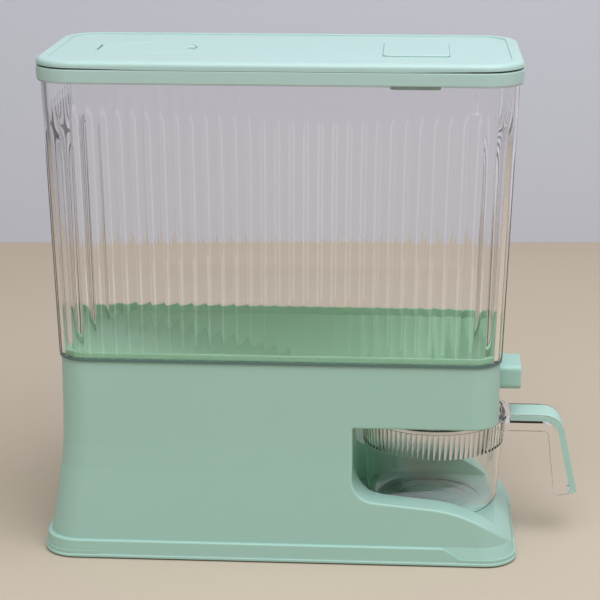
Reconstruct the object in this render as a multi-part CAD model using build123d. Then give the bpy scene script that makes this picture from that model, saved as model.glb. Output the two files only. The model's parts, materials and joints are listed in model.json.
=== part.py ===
from build123d import *
import math
import os

# Rice storage bin: a clear fluted bucket on a mint base that doses rice into a cup.
# Millimetres, +Z up, +X towards the cup's handle, +Y towards the back.
# Pieces are drawn about the middle of the base and moved along X as they are written,
# so that the origin lies on the floor below the middle of the overall length.

# Base: outlines from the top edge down to the sole
base_top = 146.7
base_length = 312.6
base_depth = 132.6
base_corner = 20.55
base_edge = 0.8
flare_start = 106.0
flare_start_share = 0.015
flare_bend = 84.0
flare_bend_share = 0.085
flare_knee = 66.0
flare_knee_share = 0.24
ankle_height = 14.0
ankle_spread_x = 22.0
ankle_spread_y = 9.9
foot_spread_x = 30.6
foot_spread_y = 18.1
foot_corner_growth = 3.45
sole_height = 1.2
lip_height = 2.0
lip_step = 0.7
plinth_top = 13.6
plinth_draft = 0.9
plinth_edge = 1.0
lip_edge = 0.8
plinth_setback = 38.5
plinth_fade = 17.5
plinth_bend = 9.0
base_wall = 2.5
rib_wall = 2.0
rib_top = 48.0
rib_count = 3
overrun = 6.0

# Cup bay in the right half of the base
window_gap = 2.7
window_drop = 46.5
window_corner = 1.8
window_edge = 1.6
border_slack = 0.02
bench_height = 47.0
bench_corner = 17.0
swoop_height = 41.4
swoop_low = 7.4
bay_floor = 22.5
bay_cheeks = 32.0
bay_corner = 28.0

# Pads under the plinth
pad_radius = 7.0
pad_recess = 1.5
pad_inset = 21.0
pad_seat_height = 4.5
pad_seat_width = 44.0
pad_clearance = 0.1

# Seat of the funnel in the base, and the seal under the bucket
seat_depth = 3.5
seat_width = 2.0
seat_thickness = 2.5
seat_clearance = 0.25
gasket_thickness = 2.0
gasket_width = 3.7
gasket_inset = 0.3

# Funnel
hopper_wall = 2.2
hopper_spread = 0.6
upstand_inset = 3.0
upstand_wall = 2.0
upstand_height = 5.6
outlet_setback = 57.05
outlet_length = 9.5
outlet_lap = 5.0
outlet_corner = 2.0
outlet_flange = 10.0
outlet_flange_height = 2.0
post_radius = 4.0
post_left = 35.0
post_right = 30.0
post_setback = 16.3

# Shutter, its guide and its springs
gate_thickness = 2.0
gate_margin = 14.0
gate_left_lap = 10.5
gate_lap = 1.5
gate_clearance = 0.3
guide_thickness = 1.5
guide_gap = 7.0
guide_length = 58.0
guide_margin = 13.0
rail_width = 3.0
rail_clearance = 0.35
chute_wall = 1.6
chute_drop = 1.0
chute_clearance = 0.3
boss_radius = 3.0
boss_height = 4.0
boss_margin = 5.0
boss_inset = 3.5
riser_setback = 12.3
riser_thickness = 3.0
riser_width = 26.0
riser_height = 20.5
wing_height = 11.0
spring_margin = 7.0
spring_radius = 3.4
spring_wire = 0.9
spring_turns = 6
spring_seat_thickness = 2.5
spring_length = 23.0
peg_radius = 2.3
peg_length = 4.0
spring_lift = 5.2

# Button
button_width = 34.0
button_height = 18.0
button_lift = 14.8
button_reach = 17.0
button_corner = 4.0
button_edge = 1.2
button_wall = 2.0
button_clearance = 0.4
button_flange = 1.3
button_flange_thickness = 2.2
button_flange_setback = 5.1
button_boss_y = 8.0
button_boss_radius = 3.4
button_boss_lift = 16.0

# Screws
screw_radius = 1.3
screw_length = 10.0
screw_head_radius = 2.6
screw_head_height = 1.8
screw_clearance = 0.05
screw_tip_gap = 1.0

# Bucket
bucket_height = 196.3
bucket_overhang = 1.45
bucket_spread_x = 12.2
bucket_spread_y = 4.0
bucket_corner_growth = 2.0
bucket_wall = 3.0
bucket_band = 18.0
bucket_flange_height = 2.4
bucket_flange_spread_x = 3.7
bucket_flange_spread_y = 6.5
bucket_flange_corner_growth = 2.0
bucket_rim_height = 6.6
flute_height = 0.9
band_step = 0.25
long_flutes = 28
short_flutes = 9
corner_flutes = 4

# Collar on the bucket
collar_height = 9.2
collar_spread_x = 5.1
collar_spread_y = 10.0
collar_corner_growth = 4.0
collar_skirt = 0.6
collar_skirt_wall = 2.0
collar_clearance = 0.4
collar_edge = 0.8

# Lift-off cover
cover_height = 5.8
cover_gap = 0.3
cover_edge = 3.6
cover_wall = 2.4
cover_panel = 2.2
cover_border = 8.5
cover_border_height = 0.8
cover_relief = 1.2
plug_gap = 2.6
plug_wall = 1.8
plug_depth = 7.0
seal_height = 3.0
seal_lift = 2.0
seal_clearance = 0.3

# Flip cap in the cover
cap_setback = 74.85
cap_radius = 27.2
cap_thickness = 2.3
cap_clearance = 0.4
port_ledge = 5.2
port_wall = 7.5
port_depth = 6.5
cap_plug_gap = 1.4
cap_plug_wall = 2.0
cap_plug_depth = 5.6
cap_seal_height = 2.0
cap_seal_lift = 1.6
cap_seal_clearance = 0.3
notch_radius = 6.8
notch_depth = 1.6
hinge_offset = 11.8
hinge_radius = 2.3
hinge_width = 26.0
hinge_gap = 0.4
hinge_groove = 1.0
hinge_groove_depth = 0.6
ear_width = 3.2
hinge_pocket_room = 1.2
ear_room = 0.2
hinge_floor = 1.6
pin_radius = 1.2
pin_clearance = 0.05

# Freshness box in the cover
tab_setback = 70.55
tab_length = 45.4
tab_depth = 66.0
tab_corner = 4.0
tab_thickness = 2.8
tab_edge = 0.7
tab_clearance = 0.3
tab_slot = 3.0
box_margin_x = 10.4
box_margin_y = 11.0
box_corner = 4.0
box_height = 18.0
box_wall = 1.5
box_clearance = 0.5
box_frame = 4.0
box_frame_height = 2.4
box_slot_width = 2.4
box_slot_length = 22.0
box_slot_pitch = 5.4
box_slot_count = 7

# Measuring cup
cup_reach = 7.0
cup_rest_gap = 0.3
cup_headroom = 5.4
cup_rim_spread = 2.6
cup_taper = 5.0
cup_wall = 2.2
cup_floor = 2.4
cup_bead = 2.0
cup_bead_height = 2.6
cup_round = 9.0
cup_foot_depth = 1.0
cup_foot_width = 3.0
cup_ring_shares = (0.4, 0.75)
cup_ring_width = 1.4
cup_band_height = 20.0
cup_flute_height = 0.7
cup_flutes = 84

# Handle of the cup
handle_overhang = 45.4
handle_width = 27.0
handle_lift = -0.6
handle_tip_height = 35.0
handle_corner_reach = 32.2
handle_bend = 16.0
handle_inner_bend = 4.0
handle_depth = 12.0
handle_tip_depth = 17.0
handle_wall = 1.7
handle_root = 4.0
grip_thickness = 4.5
grip_clearance = 0.15
grip_start = 3.4

# Heights and places worked out from the sizes above
half_turn = 180.0
quarter_turn = 90.0
foot_length = base_length + foot_spread_x
foot_depth = base_depth + foot_spread_y
foot_corner = base_corner + foot_corner_growth
base_end = base_length / 2
plinth_end = base_end - plinth_setback
window_top = base_top - window_drop
bay_depth = base_depth - bay_cheeks
cup_rim_radius = bay_depth / 2 + cup_rim_spread
cup_base_radius = cup_rim_radius - cup_taper
cup_x = base_end + cup_reach - cup_rim_radius
cup_height = window_top - cup_headroom - bay_floor - cup_rest_gap
window_left = cup_x - cup_rim_radius - cup_bead - window_gap
outlet_x = base_end - outlet_setback
post_y = base_depth / 2 - post_setback
guide_width = 2 * (post_y - post_radius - guide_gap)
gate_width = guide_width - 2 * gate_margin
outlet_width = gate_width - 2 * outlet_lap
boss_y = guide_width / 2 - boss_margin
spring_y = guide_width / 2 - spring_margin
riser_x = base_end - riser_setback
button_low = window_top + button_lift
button_high = button_low + button_height
button_face = base_end + button_reach
button_flange_x = base_end - button_flange_setback
bucket_foot_length = base_length + 2 * bucket_overhang
bucket_foot_depth = base_depth + 2 * bucket_overhang
bucket_foot_corner = base_corner + bucket_overhang
bucket_top_length = bucket_foot_length + bucket_spread_x
bucket_top_depth = bucket_foot_depth + bucket_spread_y
bucket_top_corner = bucket_foot_corner + bucket_corner_growth
bucket_flange_length = bucket_top_length + bucket_flange_spread_x
bucket_flange_depth = bucket_top_depth + bucket_flange_spread_y
bucket_flange_corner = bucket_top_corner + bucket_flange_corner_growth
collar_length = bucket_top_length + collar_spread_x
collar_depth = bucket_top_depth + collar_spread_y
collar_corner = bucket_top_corner + collar_corner_growth
cap_x = cap_setback - bucket_top_length / 2
port_radius = cap_radius - port_ledge
cap_plug_radius = port_radius - cap_plug_gap
hinge_reach = cap_radius + hinge_offset
hinge_pocket = 2 * hinge_radius + hinge_pocket_room
ear_length = hinge_pocket - ear_room
tab_x = bucket_top_length / 2 - tab_setback
box_length = tab_length - box_margin_x
box_depth = tab_depth - box_margin_y
handle_corner_x = foot_length / 2 + handle_corner_reach
bucket_foot = base_top + gasket_thickness
collar_low = bucket_foot + bucket_height
cover_low = collar_low + collar_height
cover_top = cover_low + cover_height
panel_top = cover_top - cover_border_height
panel_low = panel_top - cover_panel
ceiling_top = window_top + base_wall
gate_low = ceiling_top + guide_thickness + gate_clearance
gate_top = gate_low + gate_thickness
outlet_height = gate_top + gate_clearance
gate_travel = outlet_length + gate_lap
bay_end = foot_length / 2 + overrun
frame_shift = -handle_overhang / 2
flare_shares = (
    (base_top, 0),
    (flare_start, flare_start_share),
    (flare_bend, flare_bend_share),
    (flare_knee, flare_knee_share),
    (ankle_height, 1),
)


def rounded(length, depth, corner, height=0):
    """Rounded rectangle about the Z axis at a height."""
    return Pos(0, 0, height) * RectangleRounded(length, depth, corner)


def slab(length, depth, corner, low, high):
    """Upright prism on a rounded rectangle, between two heights."""
    return extrude(rounded(length, depth, corner, low), high - low)


def inset_slab(outline, inset, low, high):
    """Prism on an outline (length, depth, corner) drawn in by an inset."""
    length, depth, corner = outline
    return slab(length - 2 * inset, depth - 2 * inset, corner - inset, low, high)


def ring(outline, outer_inset, inner_inset, low, high):
    """Upright ring between two insets of one outline."""
    return inset_slab(outline, outer_inset, low, high) - inset_slab(outline, inner_inset, low, high)


def skin(sections, inset=0):
    """Straight-sided body through rounded rectangles (height, length, depth, corner)."""
    return loft([rounded(l - 2 * inset, d - 2 * inset, r - inset, z) for z, l, d, r in sections], ruled=True)


def drum(radius, low, high, x=0, y=0):
    """Upright cylinder between two heights."""
    return Pos(x, y, low) * extrude(Circle(radius), high - low)


def block(x_low, x_high, depth, low, high):
    """Box centred on the XZ plane."""
    middle = Pos((x_low + x_high) / 2, 0, low)
    return middle * extrude(Rectangle(x_high - x_low, depth), high - low)


def rim_rounded(solid, radius):
    """Solid with the edges of its top face rounded."""
    return fillet(solid.faces().sort_by(Axis.Z)[-1].edges(), radius)


def across(profile, width):
    """Prism on an XZ profile, centred on the XZ plane."""
    return extrude(Plane.XZ * profile, width / 2, both=True)


def base_section(height, share):
    """Outline (height, length, depth, corner) of the base with a share of its flare."""
    return (
        height,
        base_length + share * ankle_spread_x,
        base_depth + share * ankle_spread_y,
        base_corner + share * foot_corner_growth,
    )


def base_sections():
    """Outlines of the base from its top edge down to the lip of the foot."""
    sole = (sole_height + lip_height, foot_length - 2 * lip_step, foot_depth - 2 * lip_step, foot_corner)
    return [base_section(height, share) for height, share in flare_shares] + [sole]


def screw(length):
    """Pan-head screw along +Z, with the underside of its head at the origin."""
    return drum(screw_radius, 0, length) + drum(screw_head_radius, -screw_head_height, 0)


def screw_hole(length):
    """Clearance for the shank of a screw along +Z."""
    return drum(screw_radius + screw_clearance, 0, length)


def group(solids):
    """Separate solids that share one node."""
    return Compound(list(solids))


# Base


def window_profile():
    """XZ outline of the cup window: square top, rounded bench and a sill that swoops to the right end."""
    foot_end = foot_length / 2
    fall = (bench_height - swoop_height) / (cup_x - window_left)
    slant = math.hypot(1, fall)
    bench_x = window_left + bench_corner
    bench_z = bench_height + bench_corner * (slant - fall)
    sill = (bench_x - bench_corner * fall / slant, bench_z - bench_corner / slant)
    top_x = window_left + window_corner
    return make_face(
        [
            Line((bay_end, window_top), (top_x, window_top)),
            TangentArc((top_x, window_top), (window_left, window_top - window_corner), tangent=(-1, 0)),
            Line((window_left, window_top - window_corner), (window_left, bench_z)),
            TangentArc((window_left, bench_z), sill, tangent=(0, -1)),
            Line(sill, (cup_x, swoop_height)),
            TangentArc((cup_x, swoop_height), (foot_end, swoop_low), tangent=(1, -fall)),
            Line((foot_end, swoop_low), (bay_end, swoop_low)),
            Line((bay_end, swoop_low), (bay_end, window_top)),
        ]
    )


def bay_room(margin):
    """Room of the cup between the two cheeks, grown by a margin."""
    length = 2 * (bay_end - window_left + margin)
    room = slab(length, bay_depth + 2 * margin, bay_corner + margin, bay_floor - margin, window_top + margin)
    return Pos(bay_end, 0, 0) * room


def plinth():
    """Stepped foot whose ledge slopes down to the lip below the cup window."""
    step = foot_length - 2 * lip_step
    depth = foot_depth - 2 * lip_step
    top = (plinth_top, step - 2 * plinth_draft, depth - 2 * plinth_draft, foot_corner)
    low = sole_height + lip_height
    foot = rim_rounded(skin((top, (sole_height, step, depth, foot_corner))), plinth_edge)
    fade_end = plinth_end + plinth_fade
    fade_start = plinth_end - overrun
    fade = FilletPolyline(
        (fade_start, plinth_top), (plinth_end, plinth_top), (fade_end, low), (bay_end, low), radius=plinth_bend
    )
    above = Polyline(
        (bay_end, low), (bay_end, plinth_top + overrun), (fade_start, plinth_top + overrun), (fade_start, plinth_top)
    )
    fade = make_face(fade.edges() + above.edges())
    lip = rim_rounded(slab(foot_length, foot_depth, foot_corner, sole_height, low), lip_edge)
    return foot - across(fade, foot_depth + overrun) + lip


def hollow():
    """Inside of the moulding: all that lies behind the outer skin and the walls of the bay."""
    sections = base_sections()
    above = (base_top + overrun, *sections[0][1:])
    below = (sole_height - overrun, *sections[-1][1:])
    inside = skin([above] + sections + [below], base_wall)
    window = across(offset(window_profile(), base_wall), foot_depth + overrun)
    return inside - window - bay_room(base_wall)


def pad_places():
    """Centres of the four pads."""
    x = foot_length / 2 - pad_inset
    y = foot_depth / 2 - pad_inset
    return [(sx * x, sy * y) for sx in (-1, 1) for sy in (-1, 1)]


def post_places():
    """Centres of the funnel's four screw posts."""
    return [(x, s * post_y) for x in (cup_x - post_left, cup_x + post_right) for s in (-1, 1)]


def boss_places():
    """Centres of the guide's four screw bosses."""
    x_low = outlet_x - guide_length / 2 + boss_inset + guide_margin
    x_high = outlet_x + guide_length / 2 - guide_margin
    return [(x, s * boss_y) for x in (x_low, x_high) for s in (-1, 1)]


def window_border(solid):
    """Front and back edges at the top of the cup window, which lead on round its whole border."""
    edges = solid.edges().filter_by_position(Axis.Z, window_top - border_slack, window_top + border_slack)
    return [edge for edge in edges if abs(edge.center().Y) > bay_depth / 2]


def make_base_shell():
    """Outer moulding of the base."""
    inside = hollow()
    shell = rim_rounded(skin(base_sections()), base_edge) + plinth()
    shell -= across(window_profile(), foot_depth + overrun)
    shell = fillet(window_border(shell), window_edge)
    shell = shell - bay_room(0) - inside
    ribs = [rib_place(i) for i in range(rib_count)]
    ribs.append(block(-foot_length / 2, window_left, rib_wall, sole_height + lip_height, rib_top))
    foot = (foot_length, foot_depth, foot_corner)
    seats = inset_slab(foot, lip_step, sole_height, sole_height + pad_seat_height)
    for rib in ribs:
        shell += rib & inside
    for x, y in pad_places():
        corner = Pos(x, y, sole_height) * extrude(Rectangle(pad_seat_width, pad_seat_width), pad_seat_height)
        shell += corner & seats
    outline = (base_length, base_depth, base_corner)
    seat_top = base_top - seat_depth
    shell += ring(outline, base_wall / 2, base_wall + seat_width, seat_top - seat_thickness, seat_top)
    for x, y in pad_places():
        shell -= drum(pad_radius + pad_clearance, 0, sole_height + pad_recess, x, y)
    for x, y in post_places() + boss_places():
        shell -= drum(screw_radius + screw_clearance, window_top - overrun, ceiling_top + overrun, x, y)
    shell -= outlet_prism(chute_wall + chute_clearance, window_top - overrun, ceiling_top + overrun)
    return shell - button_prism(button_clearance, riser_x, button_face)


def rib_place(index):
    """One cross rib under the hollow of the base."""
    span = base_end + window_left - base_wall
    x = span * (index + 1) / (rib_count + 1) - base_end
    return block(x - rib_wall / 2, x + rib_wall / 2, foot_depth, sole_height + lip_height, rib_top)


def make_base_feet():
    """Four pads that stand in recesses of the plinth."""
    return group(drum(pad_radius, 0, sole_height + pad_recess, x, y) for x, y in pad_places())


# Funnel


def outlet_prism(margin, low, high):
    """Prism on the outlet's outline, grown by a margin."""
    outline = slab(
        outlet_length + 2 * margin, outlet_width + 2 * margin, outlet_corner + margin, low, high
    )
    return Pos(outlet_x, 0, 0) * outline


def funnel(spread, drop):
    """Funnel from the upstand's outline to the outlet, grown in plan and lowered."""
    inset = upstand_inset + upstand_wall - spread
    mouth = rounded(base_length - 2 * inset, base_depth - 2 * inset, base_corner - inset, base_top - drop)
    outlet = RectangleRounded(outlet_length + 2 * spread, outlet_width + 2 * spread, outlet_corner + spread)
    return loft([mouth, Pos(outlet_x, 0, outlet_height - drop) * outlet], ruled=True)


def make_hopper():
    """Funnel with a seat flange, an upstand inside the bucket, an outlet flange and screw posts."""
    outline = (base_length, base_depth, base_corner)
    seat_top = base_top - seat_depth
    upstand_top = base_top + upstand_height
    mouth_inset = upstand_inset + upstand_wall
    inside = funnel(0, 0) + inset_slab(outline, mouth_inset, base_top, upstand_top + overrun)
    body = funnel(hopper_spread, hopper_wall)
    body += inset_slab(outline, base_wall + seat_clearance, seat_top, base_top)
    body += inset_slab(outline, upstand_inset, seat_top, upstand_top)
    body += outlet_prism(outlet_flange, outlet_height, outlet_height + outlet_flange_height)
    for x, y in post_places():
        body += drum(post_radius, ceiling_top, base_top, x, y)
    body -= inside
    low = ceiling_top - overrun
    under_outlet = block(-base_length / 2, base_length / 2, 2 * (post_y - post_radius), low, outlet_height)
    body -= under_outlet
    body -= outlet_prism(0, low, outlet_height + outlet_flange_height)
    for x, y in post_places():
        body -= drum(screw_radius + screw_clearance, low, window_top + screw_length + screw_tip_gap, x, y)
    return body


def make_ceiling_screws(places):
    """Screws driven up through the ceiling of the bay."""
    return group(Pos(x, y, window_top) * screw(screw_length) for x, y in places)


# Shutter


def spring_seat_x():
    """X of the fixed ends of the springs."""
    return riser_x - spring_length


def spring_height():
    """Height of the springs' axes."""
    return gate_low + spring_lift


def make_gate_guide():
    """Floor, rails, chute and spring seats of the shutter, screwed to the ceiling of the bay."""
    x_low = outlet_x - guide_length / 2
    x_high = outlet_x + guide_length / 2
    floor_top = ceiling_top + guide_thickness
    rail_inner = gate_width / 2 + rail_clearance
    guide = block(x_low, x_high, guide_width, ceiling_top, floor_top)
    rails = block(x_low, x_high, 2 * (rail_inner + rail_width), floor_top, gate_top)
    guide += rails - block(x_low, x_high, 2 * rail_inner, floor_top, gate_top)
    guide += outlet_prism(chute_wall, window_top - chute_drop, ceiling_top)
    seat_x = spring_seat_x()
    for side in (-1, 1):
        seat = Pos(seat_x - spring_seat_thickness / 2, side * spring_y, floor_top)
        seat_height = spring_height() + spring_radius - floor_top
        guide += seat * extrude(Rectangle(spring_seat_thickness, 2 * spring_radius), seat_height)
        peg = Plane((seat_x, side * spring_y, spring_height()), z_dir=(1, 0, 0))
        guide += peg * extrude(Circle(peg_radius), peg_length)
    for x, y in boss_places():
        guide += drum(boss_radius, floor_top, floor_top + boss_height, x, y)
        guide -= drum(screw_radius + screw_clearance, ceiling_top, floor_top + boss_height, x, y)
    return guide - outlet_prism(0, window_top - chute_drop, floor_top)


def make_gate_slider():
    """Shutter plate with its slot, its riser to the button and its spring wings."""
    x_low = outlet_x - outlet_length / 2 - gate_left_lap
    riser_end = riser_x + riser_thickness
    slider = block(x_low, riser_end, gate_width, gate_low, gate_top)
    slider += block(riser_x, riser_end, riser_width, gate_low, gate_low + riser_height)
    slider += block(riser_x, riser_end, 2 * (spring_y + spring_radius), gate_low, gate_low + wing_height)
    slot = outlet_prism(0, gate_low, gate_top)
    slider -= Pos(gate_travel, 0, 0) * slot
    for side in (-1, 1):
        peg = Plane((riser_x, side * spring_y, spring_height()), z_dir=(-1, 0, 0))
        slider += peg * extrude(Circle(peg_radius), peg_length)
        hole = Plane((riser_x, side * button_boss_y, gate_low + button_boss_lift), z_dir=(1, 0, 0))
        slider -= hole * screw_hole(riser_thickness)
    return slider


def make_return_spring(side):
    """Compression spring between the guide's seat and the shutter's wing."""
    coil_radius = spring_radius - spring_wire / 2
    coil_length = spring_length - spring_wire
    start = (spring_seat_x() + spring_wire / 2, side * spring_y, spring_height())
    coil = Helix(coil_length / spring_turns, coil_length, coil_radius, center=start, direction=(1, 0, 0))
    return sweep(Plane(coil @ 0, z_dir=coil % 0) * Circle(spring_wire / 2), path=coil)


def button_prism(margin, x_low, x_high):
    """Prism along X on the button's outline, grown by a margin."""
    middle = Plane((x_low, 0, (button_low + button_high) / 2), x_dir=(0, 1, 0), z_dir=(1, 0, 0))
    height = button_high - button_low
    outline = RectangleRounded(button_width + 2 * margin, height + 2 * margin, button_corner + margin)
    return extrude(middle * outline, x_high - x_low)


def make_push_button():
    """Hollow button with a flange behind the end wall and two screw bosses."""
    button = button_prism(0, button_flange_x, button_face)
    face_edges = button.faces().sort_by(Axis.X)[-1].edges()
    button = fillet(face_edges, button_edge)
    button += button_prism(button_flange, button_flange_x, button_flange_x + button_flange_thickness)
    button -= button_prism(-button_wall, button_flange_x, button_face - button_wall)
    boss_x = riser_x + riser_thickness
    for side in (-1, 1):
        boss = Plane((boss_x, side * button_boss_y, gate_low + button_boss_lift), z_dir=(1, 0, 0))
        button += boss * extrude(Circle(button_boss_radius), button_face - button_wall - boss_x)
        button -= boss * screw_hole(screw_length - riser_thickness + screw_tip_gap)
    return button


def make_button_screws():
    """Screws that hold the button on the shutter's riser."""
    height = gate_low + button_boss_lift
    places = [Plane((riser_x, side * button_boss_y, height), z_dir=(1, 0, 0)) for side in (-1, 1)]
    return group(place * screw(screw_length) for place in places)


# Bucket


def make_bucket_gasket():
    """Seal between the base and the bucket's foot."""
    outline = bucket_outline(bucket_foot)
    return ring(outline, gasket_inset, gasket_inset + gasket_width, base_top, bucket_foot)


def side_stations(start, end, direction, flutes):
    """Points along a straight side, two for each flute, with the outward direction."""
    steps = 2 * flutes
    step = ((end[0] - start[0]) / steps, (end[1] - start[1]) / steps)
    return [((start[0] + step[0] * i, start[1] + step[1] * i), direction) for i in range(steps)]


def corner_stations(centre, corner, start_angle, flutes):
    """Points along a rounded corner, two for each flute, with the outward direction."""
    stations = []
    for i in range(2 * flutes):
        angle = math.radians(start_angle + quarter_turn * i / (2 * flutes))
        direction = (math.cos(angle), math.sin(angle))
        point = (centre[0] + corner * direction[0], centre[1] + corner * direction[1])
        stations.append((point, direction))
    return stations


def flute_face(stations, height, depth):
    """Face on a scalloped outline: one bulging arc between each pair of valleys."""
    valleys = [(p[0] - depth * d[0], p[1] - depth * d[1]) for p, d in stations[::2]]
    crests = [p for p, d in stations[1::2]]
    ends = valleys[1:] + valleys[:1]
    arcs = [ThreePointArc(*points) for points in zip(valleys, crests, ends)]
    return Pos(0, 0, height) * make_face(arcs)


def fluted(length, depth, corner, height):
    """Scalloped rounded rectangle whose crests lie on the plain outline."""
    x = length / 2 - corner
    y = depth / 2 - corner
    stations = side_stations((-x, -depth / 2), (x, -depth / 2), (0, -1), long_flutes)
    stations += corner_stations((x, -y), corner, -quarter_turn, corner_flutes)
    stations += side_stations((length / 2, -y), (length / 2, y), (1, 0), short_flutes)
    stations += corner_stations((x, y), corner, 0, corner_flutes)
    stations += side_stations((x, depth / 2), (-x, depth / 2), (0, 1), long_flutes)
    stations += corner_stations((-x, y), corner, quarter_turn, corner_flutes)
    stations += side_stations((-length / 2, y), (-length / 2, -y), (-1, 0), short_flutes)
    stations += corner_stations((-x, -y), corner, half_turn, corner_flutes)
    return flute_face(stations, height, flute_height)


def bucket_outline(height):
    """Outline (length, depth, corner) of the tapered bucket at a height."""
    share = (height - bucket_foot) / bucket_height
    return (
        bucket_foot_length + bucket_spread_x * share,
        bucket_foot_depth + bucket_spread_y * share,
        bucket_foot_corner + bucket_corner_growth * share,
    )


def make_bucket():
    """Clear bucket: fluted walls, a plain band, a flange under the collar and a rim inside it."""
    band_low = collar_low - bucket_band
    rim_top = collar_low + bucket_rim_height
    flange_low = collar_low - bucket_flange_height
    walls = loft([fluted(*bucket_outline(z), z) for z in (bucket_foot, band_low)], ruled=True)
    band = skin([(z, *bucket_outline(z)) for z in (band_low, rim_top)], -band_step)
    flange = slab(bucket_flange_length, bucket_flange_depth, bucket_flange_corner, flange_low, collar_low)
    inside = skin([(z, *bucket_outline(z)) for z in (bucket_foot - overrun, rim_top + overrun)], bucket_wall)
    return walls + band + flange - inside


# Collar and cover


def mouth_outline():
    """Outline (length, depth, corner) of the opening in the collar."""
    inset = bucket_wall + collar_clearance + collar_skirt_wall
    length, depth, corner = bucket_outline(collar_low)
    return (length - 2 * inset, depth - 2 * inset, corner - inset)


def make_lid_frame():
    """Collar with a channel that takes the bucket's rim and a skirt inside its mouth."""
    outline = (collar_length, collar_depth, collar_corner)
    mouth = mouth_outline()
    rim_top = collar_low + bucket_rim_height
    web_low = rim_top + collar_clearance
    wall = (collar_length - bucket_outline(rim_top)[0]) / 2 - band_step - collar_clearance
    collar = inset_slab(outline, 0, collar_low, cover_low)
    collar = fillet(collar.faces().sort_by(Axis.Z)[0].edges(), collar_edge)
    channel = inset_slab(outline, wall, collar_low, web_low)
    channel -= inset_slab(mouth, -collar_skirt_wall, collar_low, web_low)
    skirt = inset_slab(mouth, -collar_skirt_wall, collar_low - collar_skirt, web_low)
    return collar - channel + skirt - inset_slab(mouth, 0, collar_low - overrun, cover_low + overrun)


def cap_place(x=0, height=0):
    """Place on the cap's middle line, measured from its centre."""
    return Pos(cap_x + x, 0, height)


def relief():
    """Shallow arch under the cover that leaves a finger gap at both ends."""
    half = collar_length / 2 + overrun
    low = cover_low + cover_gap
    arch = make_face(
        [
            ThreePointArc((-half, low + cover_relief), (0, low), (half, low + cover_relief)),
            Line((half, low + cover_relief), (half, low - overrun)),
            Line((half, low - overrun), (-half, low - overrun)),
            Line((-half, low - overrun), (-half, low + cover_relief)),
        ]
    )
    return across(arch, collar_depth + overrun)


def hinge_axis_height():
    """Height of the cap's hinge, with its barrel flush with the panel."""
    return panel_top - hinge_radius


def along_y(radius, width, x, height):
    """Cylinder along Y, centred on the XZ plane."""
    middle = Plane((x, 0, height), z_dir=(0, 1, 0))
    return extrude(middle * Circle(radius), width / 2, both=True)


def make_lid_cover():
    """Lift-off cover with a raised border, a plug, a cap port with hinge ears and a box well."""
    outline = (collar_length, collar_depth, collar_corner)
    mouth = mouth_outline()
    low = cover_low + cover_gap
    cover = rim_rounded(inset_slab(outline, 0, low, cover_top), cover_edge)
    cover -= relief()
    cover -= inset_slab(outline, cover_border, panel_top, cover_top + overrun)
    cover -= inset_slab(outline, cover_wall, low - overrun, panel_low)
    cover += ring(mouth, plug_gap, plug_gap + plug_wall, cover_low - plug_depth, panel_low)
    hinge_x = cap_x - hinge_reach
    pocket_low = hinge_axis_height() - hinge_radius - cap_clearance
    seat = panel_top - cap_thickness - cap_clearance
    outer = port_radius + port_wall
    cover += cap_place() * drum(outer, seat - port_depth, panel_low)
    pocket_width = hinge_width + 2 * (hinge_gap + ear_width)
    boss_width = pocket_width + 2 * hinge_floor
    pocket_start = hinge_x - hinge_pocket / 2 - hinge_gap
    cover += block(pocket_start - hinge_floor, cap_x, boss_width, pocket_low - hinge_floor, panel_low)
    recess = cap_place() * drum(cap_radius + cap_clearance, seat, cover_top)
    notch = cap_place(cap_radius) * drum(notch_radius, seat - notch_depth, cover_top)
    cover -= recess
    cover -= notch & (cap_place() * drum(cap_radius + cap_clearance, seat - notch_depth, cover_top))
    cover -= block(pocket_start, cap_x - port_radius, hinge_width + 2 * hinge_gap, seat, cover_top)
    cover -= block(pocket_start, hinge_x + hinge_pocket / 2, pocket_width, pocket_low, cover_top)
    cover -= cap_place() * drum(port_radius, seat - port_depth - overrun, cover_top)
    ear_low = pocket_low - hinge_floor / 2
    ears = block(hinge_x - ear_length / 2, hinge_x + ear_length / 2, pocket_width, ear_low, panel_top)
    ears -= block(hinge_x - ear_length, hinge_x + ear_length, hinge_width + 2 * hinge_gap, 0, cover_top)
    cover += ears
    cover -= along_y(pin_radius + pin_clearance, pocket_width, hinge_x, hinge_axis_height())
    return cover + box_frame_slab() - box_well()


def tab_seat():
    """Height of the ledge that carries the freshness box's tab."""
    return cover_top - tab_thickness - tab_clearance


def well_outline(margin):
    """Outline of the freshness box's well, grown by a margin."""
    return (box_length + 2 * margin, box_depth + 2 * margin, box_corner + margin)


def box_well():
    """Recess for the tab, a finger slot along its front edge and the hole for the box."""
    place = Pos(tab_x, 0, 0)
    outline = (tab_length + 2 * tab_clearance, tab_depth + 2 * tab_clearance, tab_corner + tab_clearance)
    well = inset_slab(outline, 0, tab_seat(), cover_top)
    slot = Pos(0, -tab_slot, 0) * inset_slab(outline, 0, tab_seat(), cover_top)
    hole = inset_slab(well_outline(box_clearance), 0, cover_low - overrun, cover_top)
    return place * (well + slot + hole)


def box_frame_slab():
    """Thick patch of the panel round the well, which carries the tab."""
    outline = (tab_length, tab_depth + 2 * tab_slot, tab_corner)
    return Pos(tab_x, 0, 0) * inset_slab(outline, -box_frame, tab_seat() - box_frame_height, panel_low)


def make_lid_seal():
    """Soft ring round the cover's plug."""
    low = cover_low - plug_depth + seal_lift
    return ring(mouth_outline(), seal_clearance, plug_gap, low, low + seal_height)


# Flip cap


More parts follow.
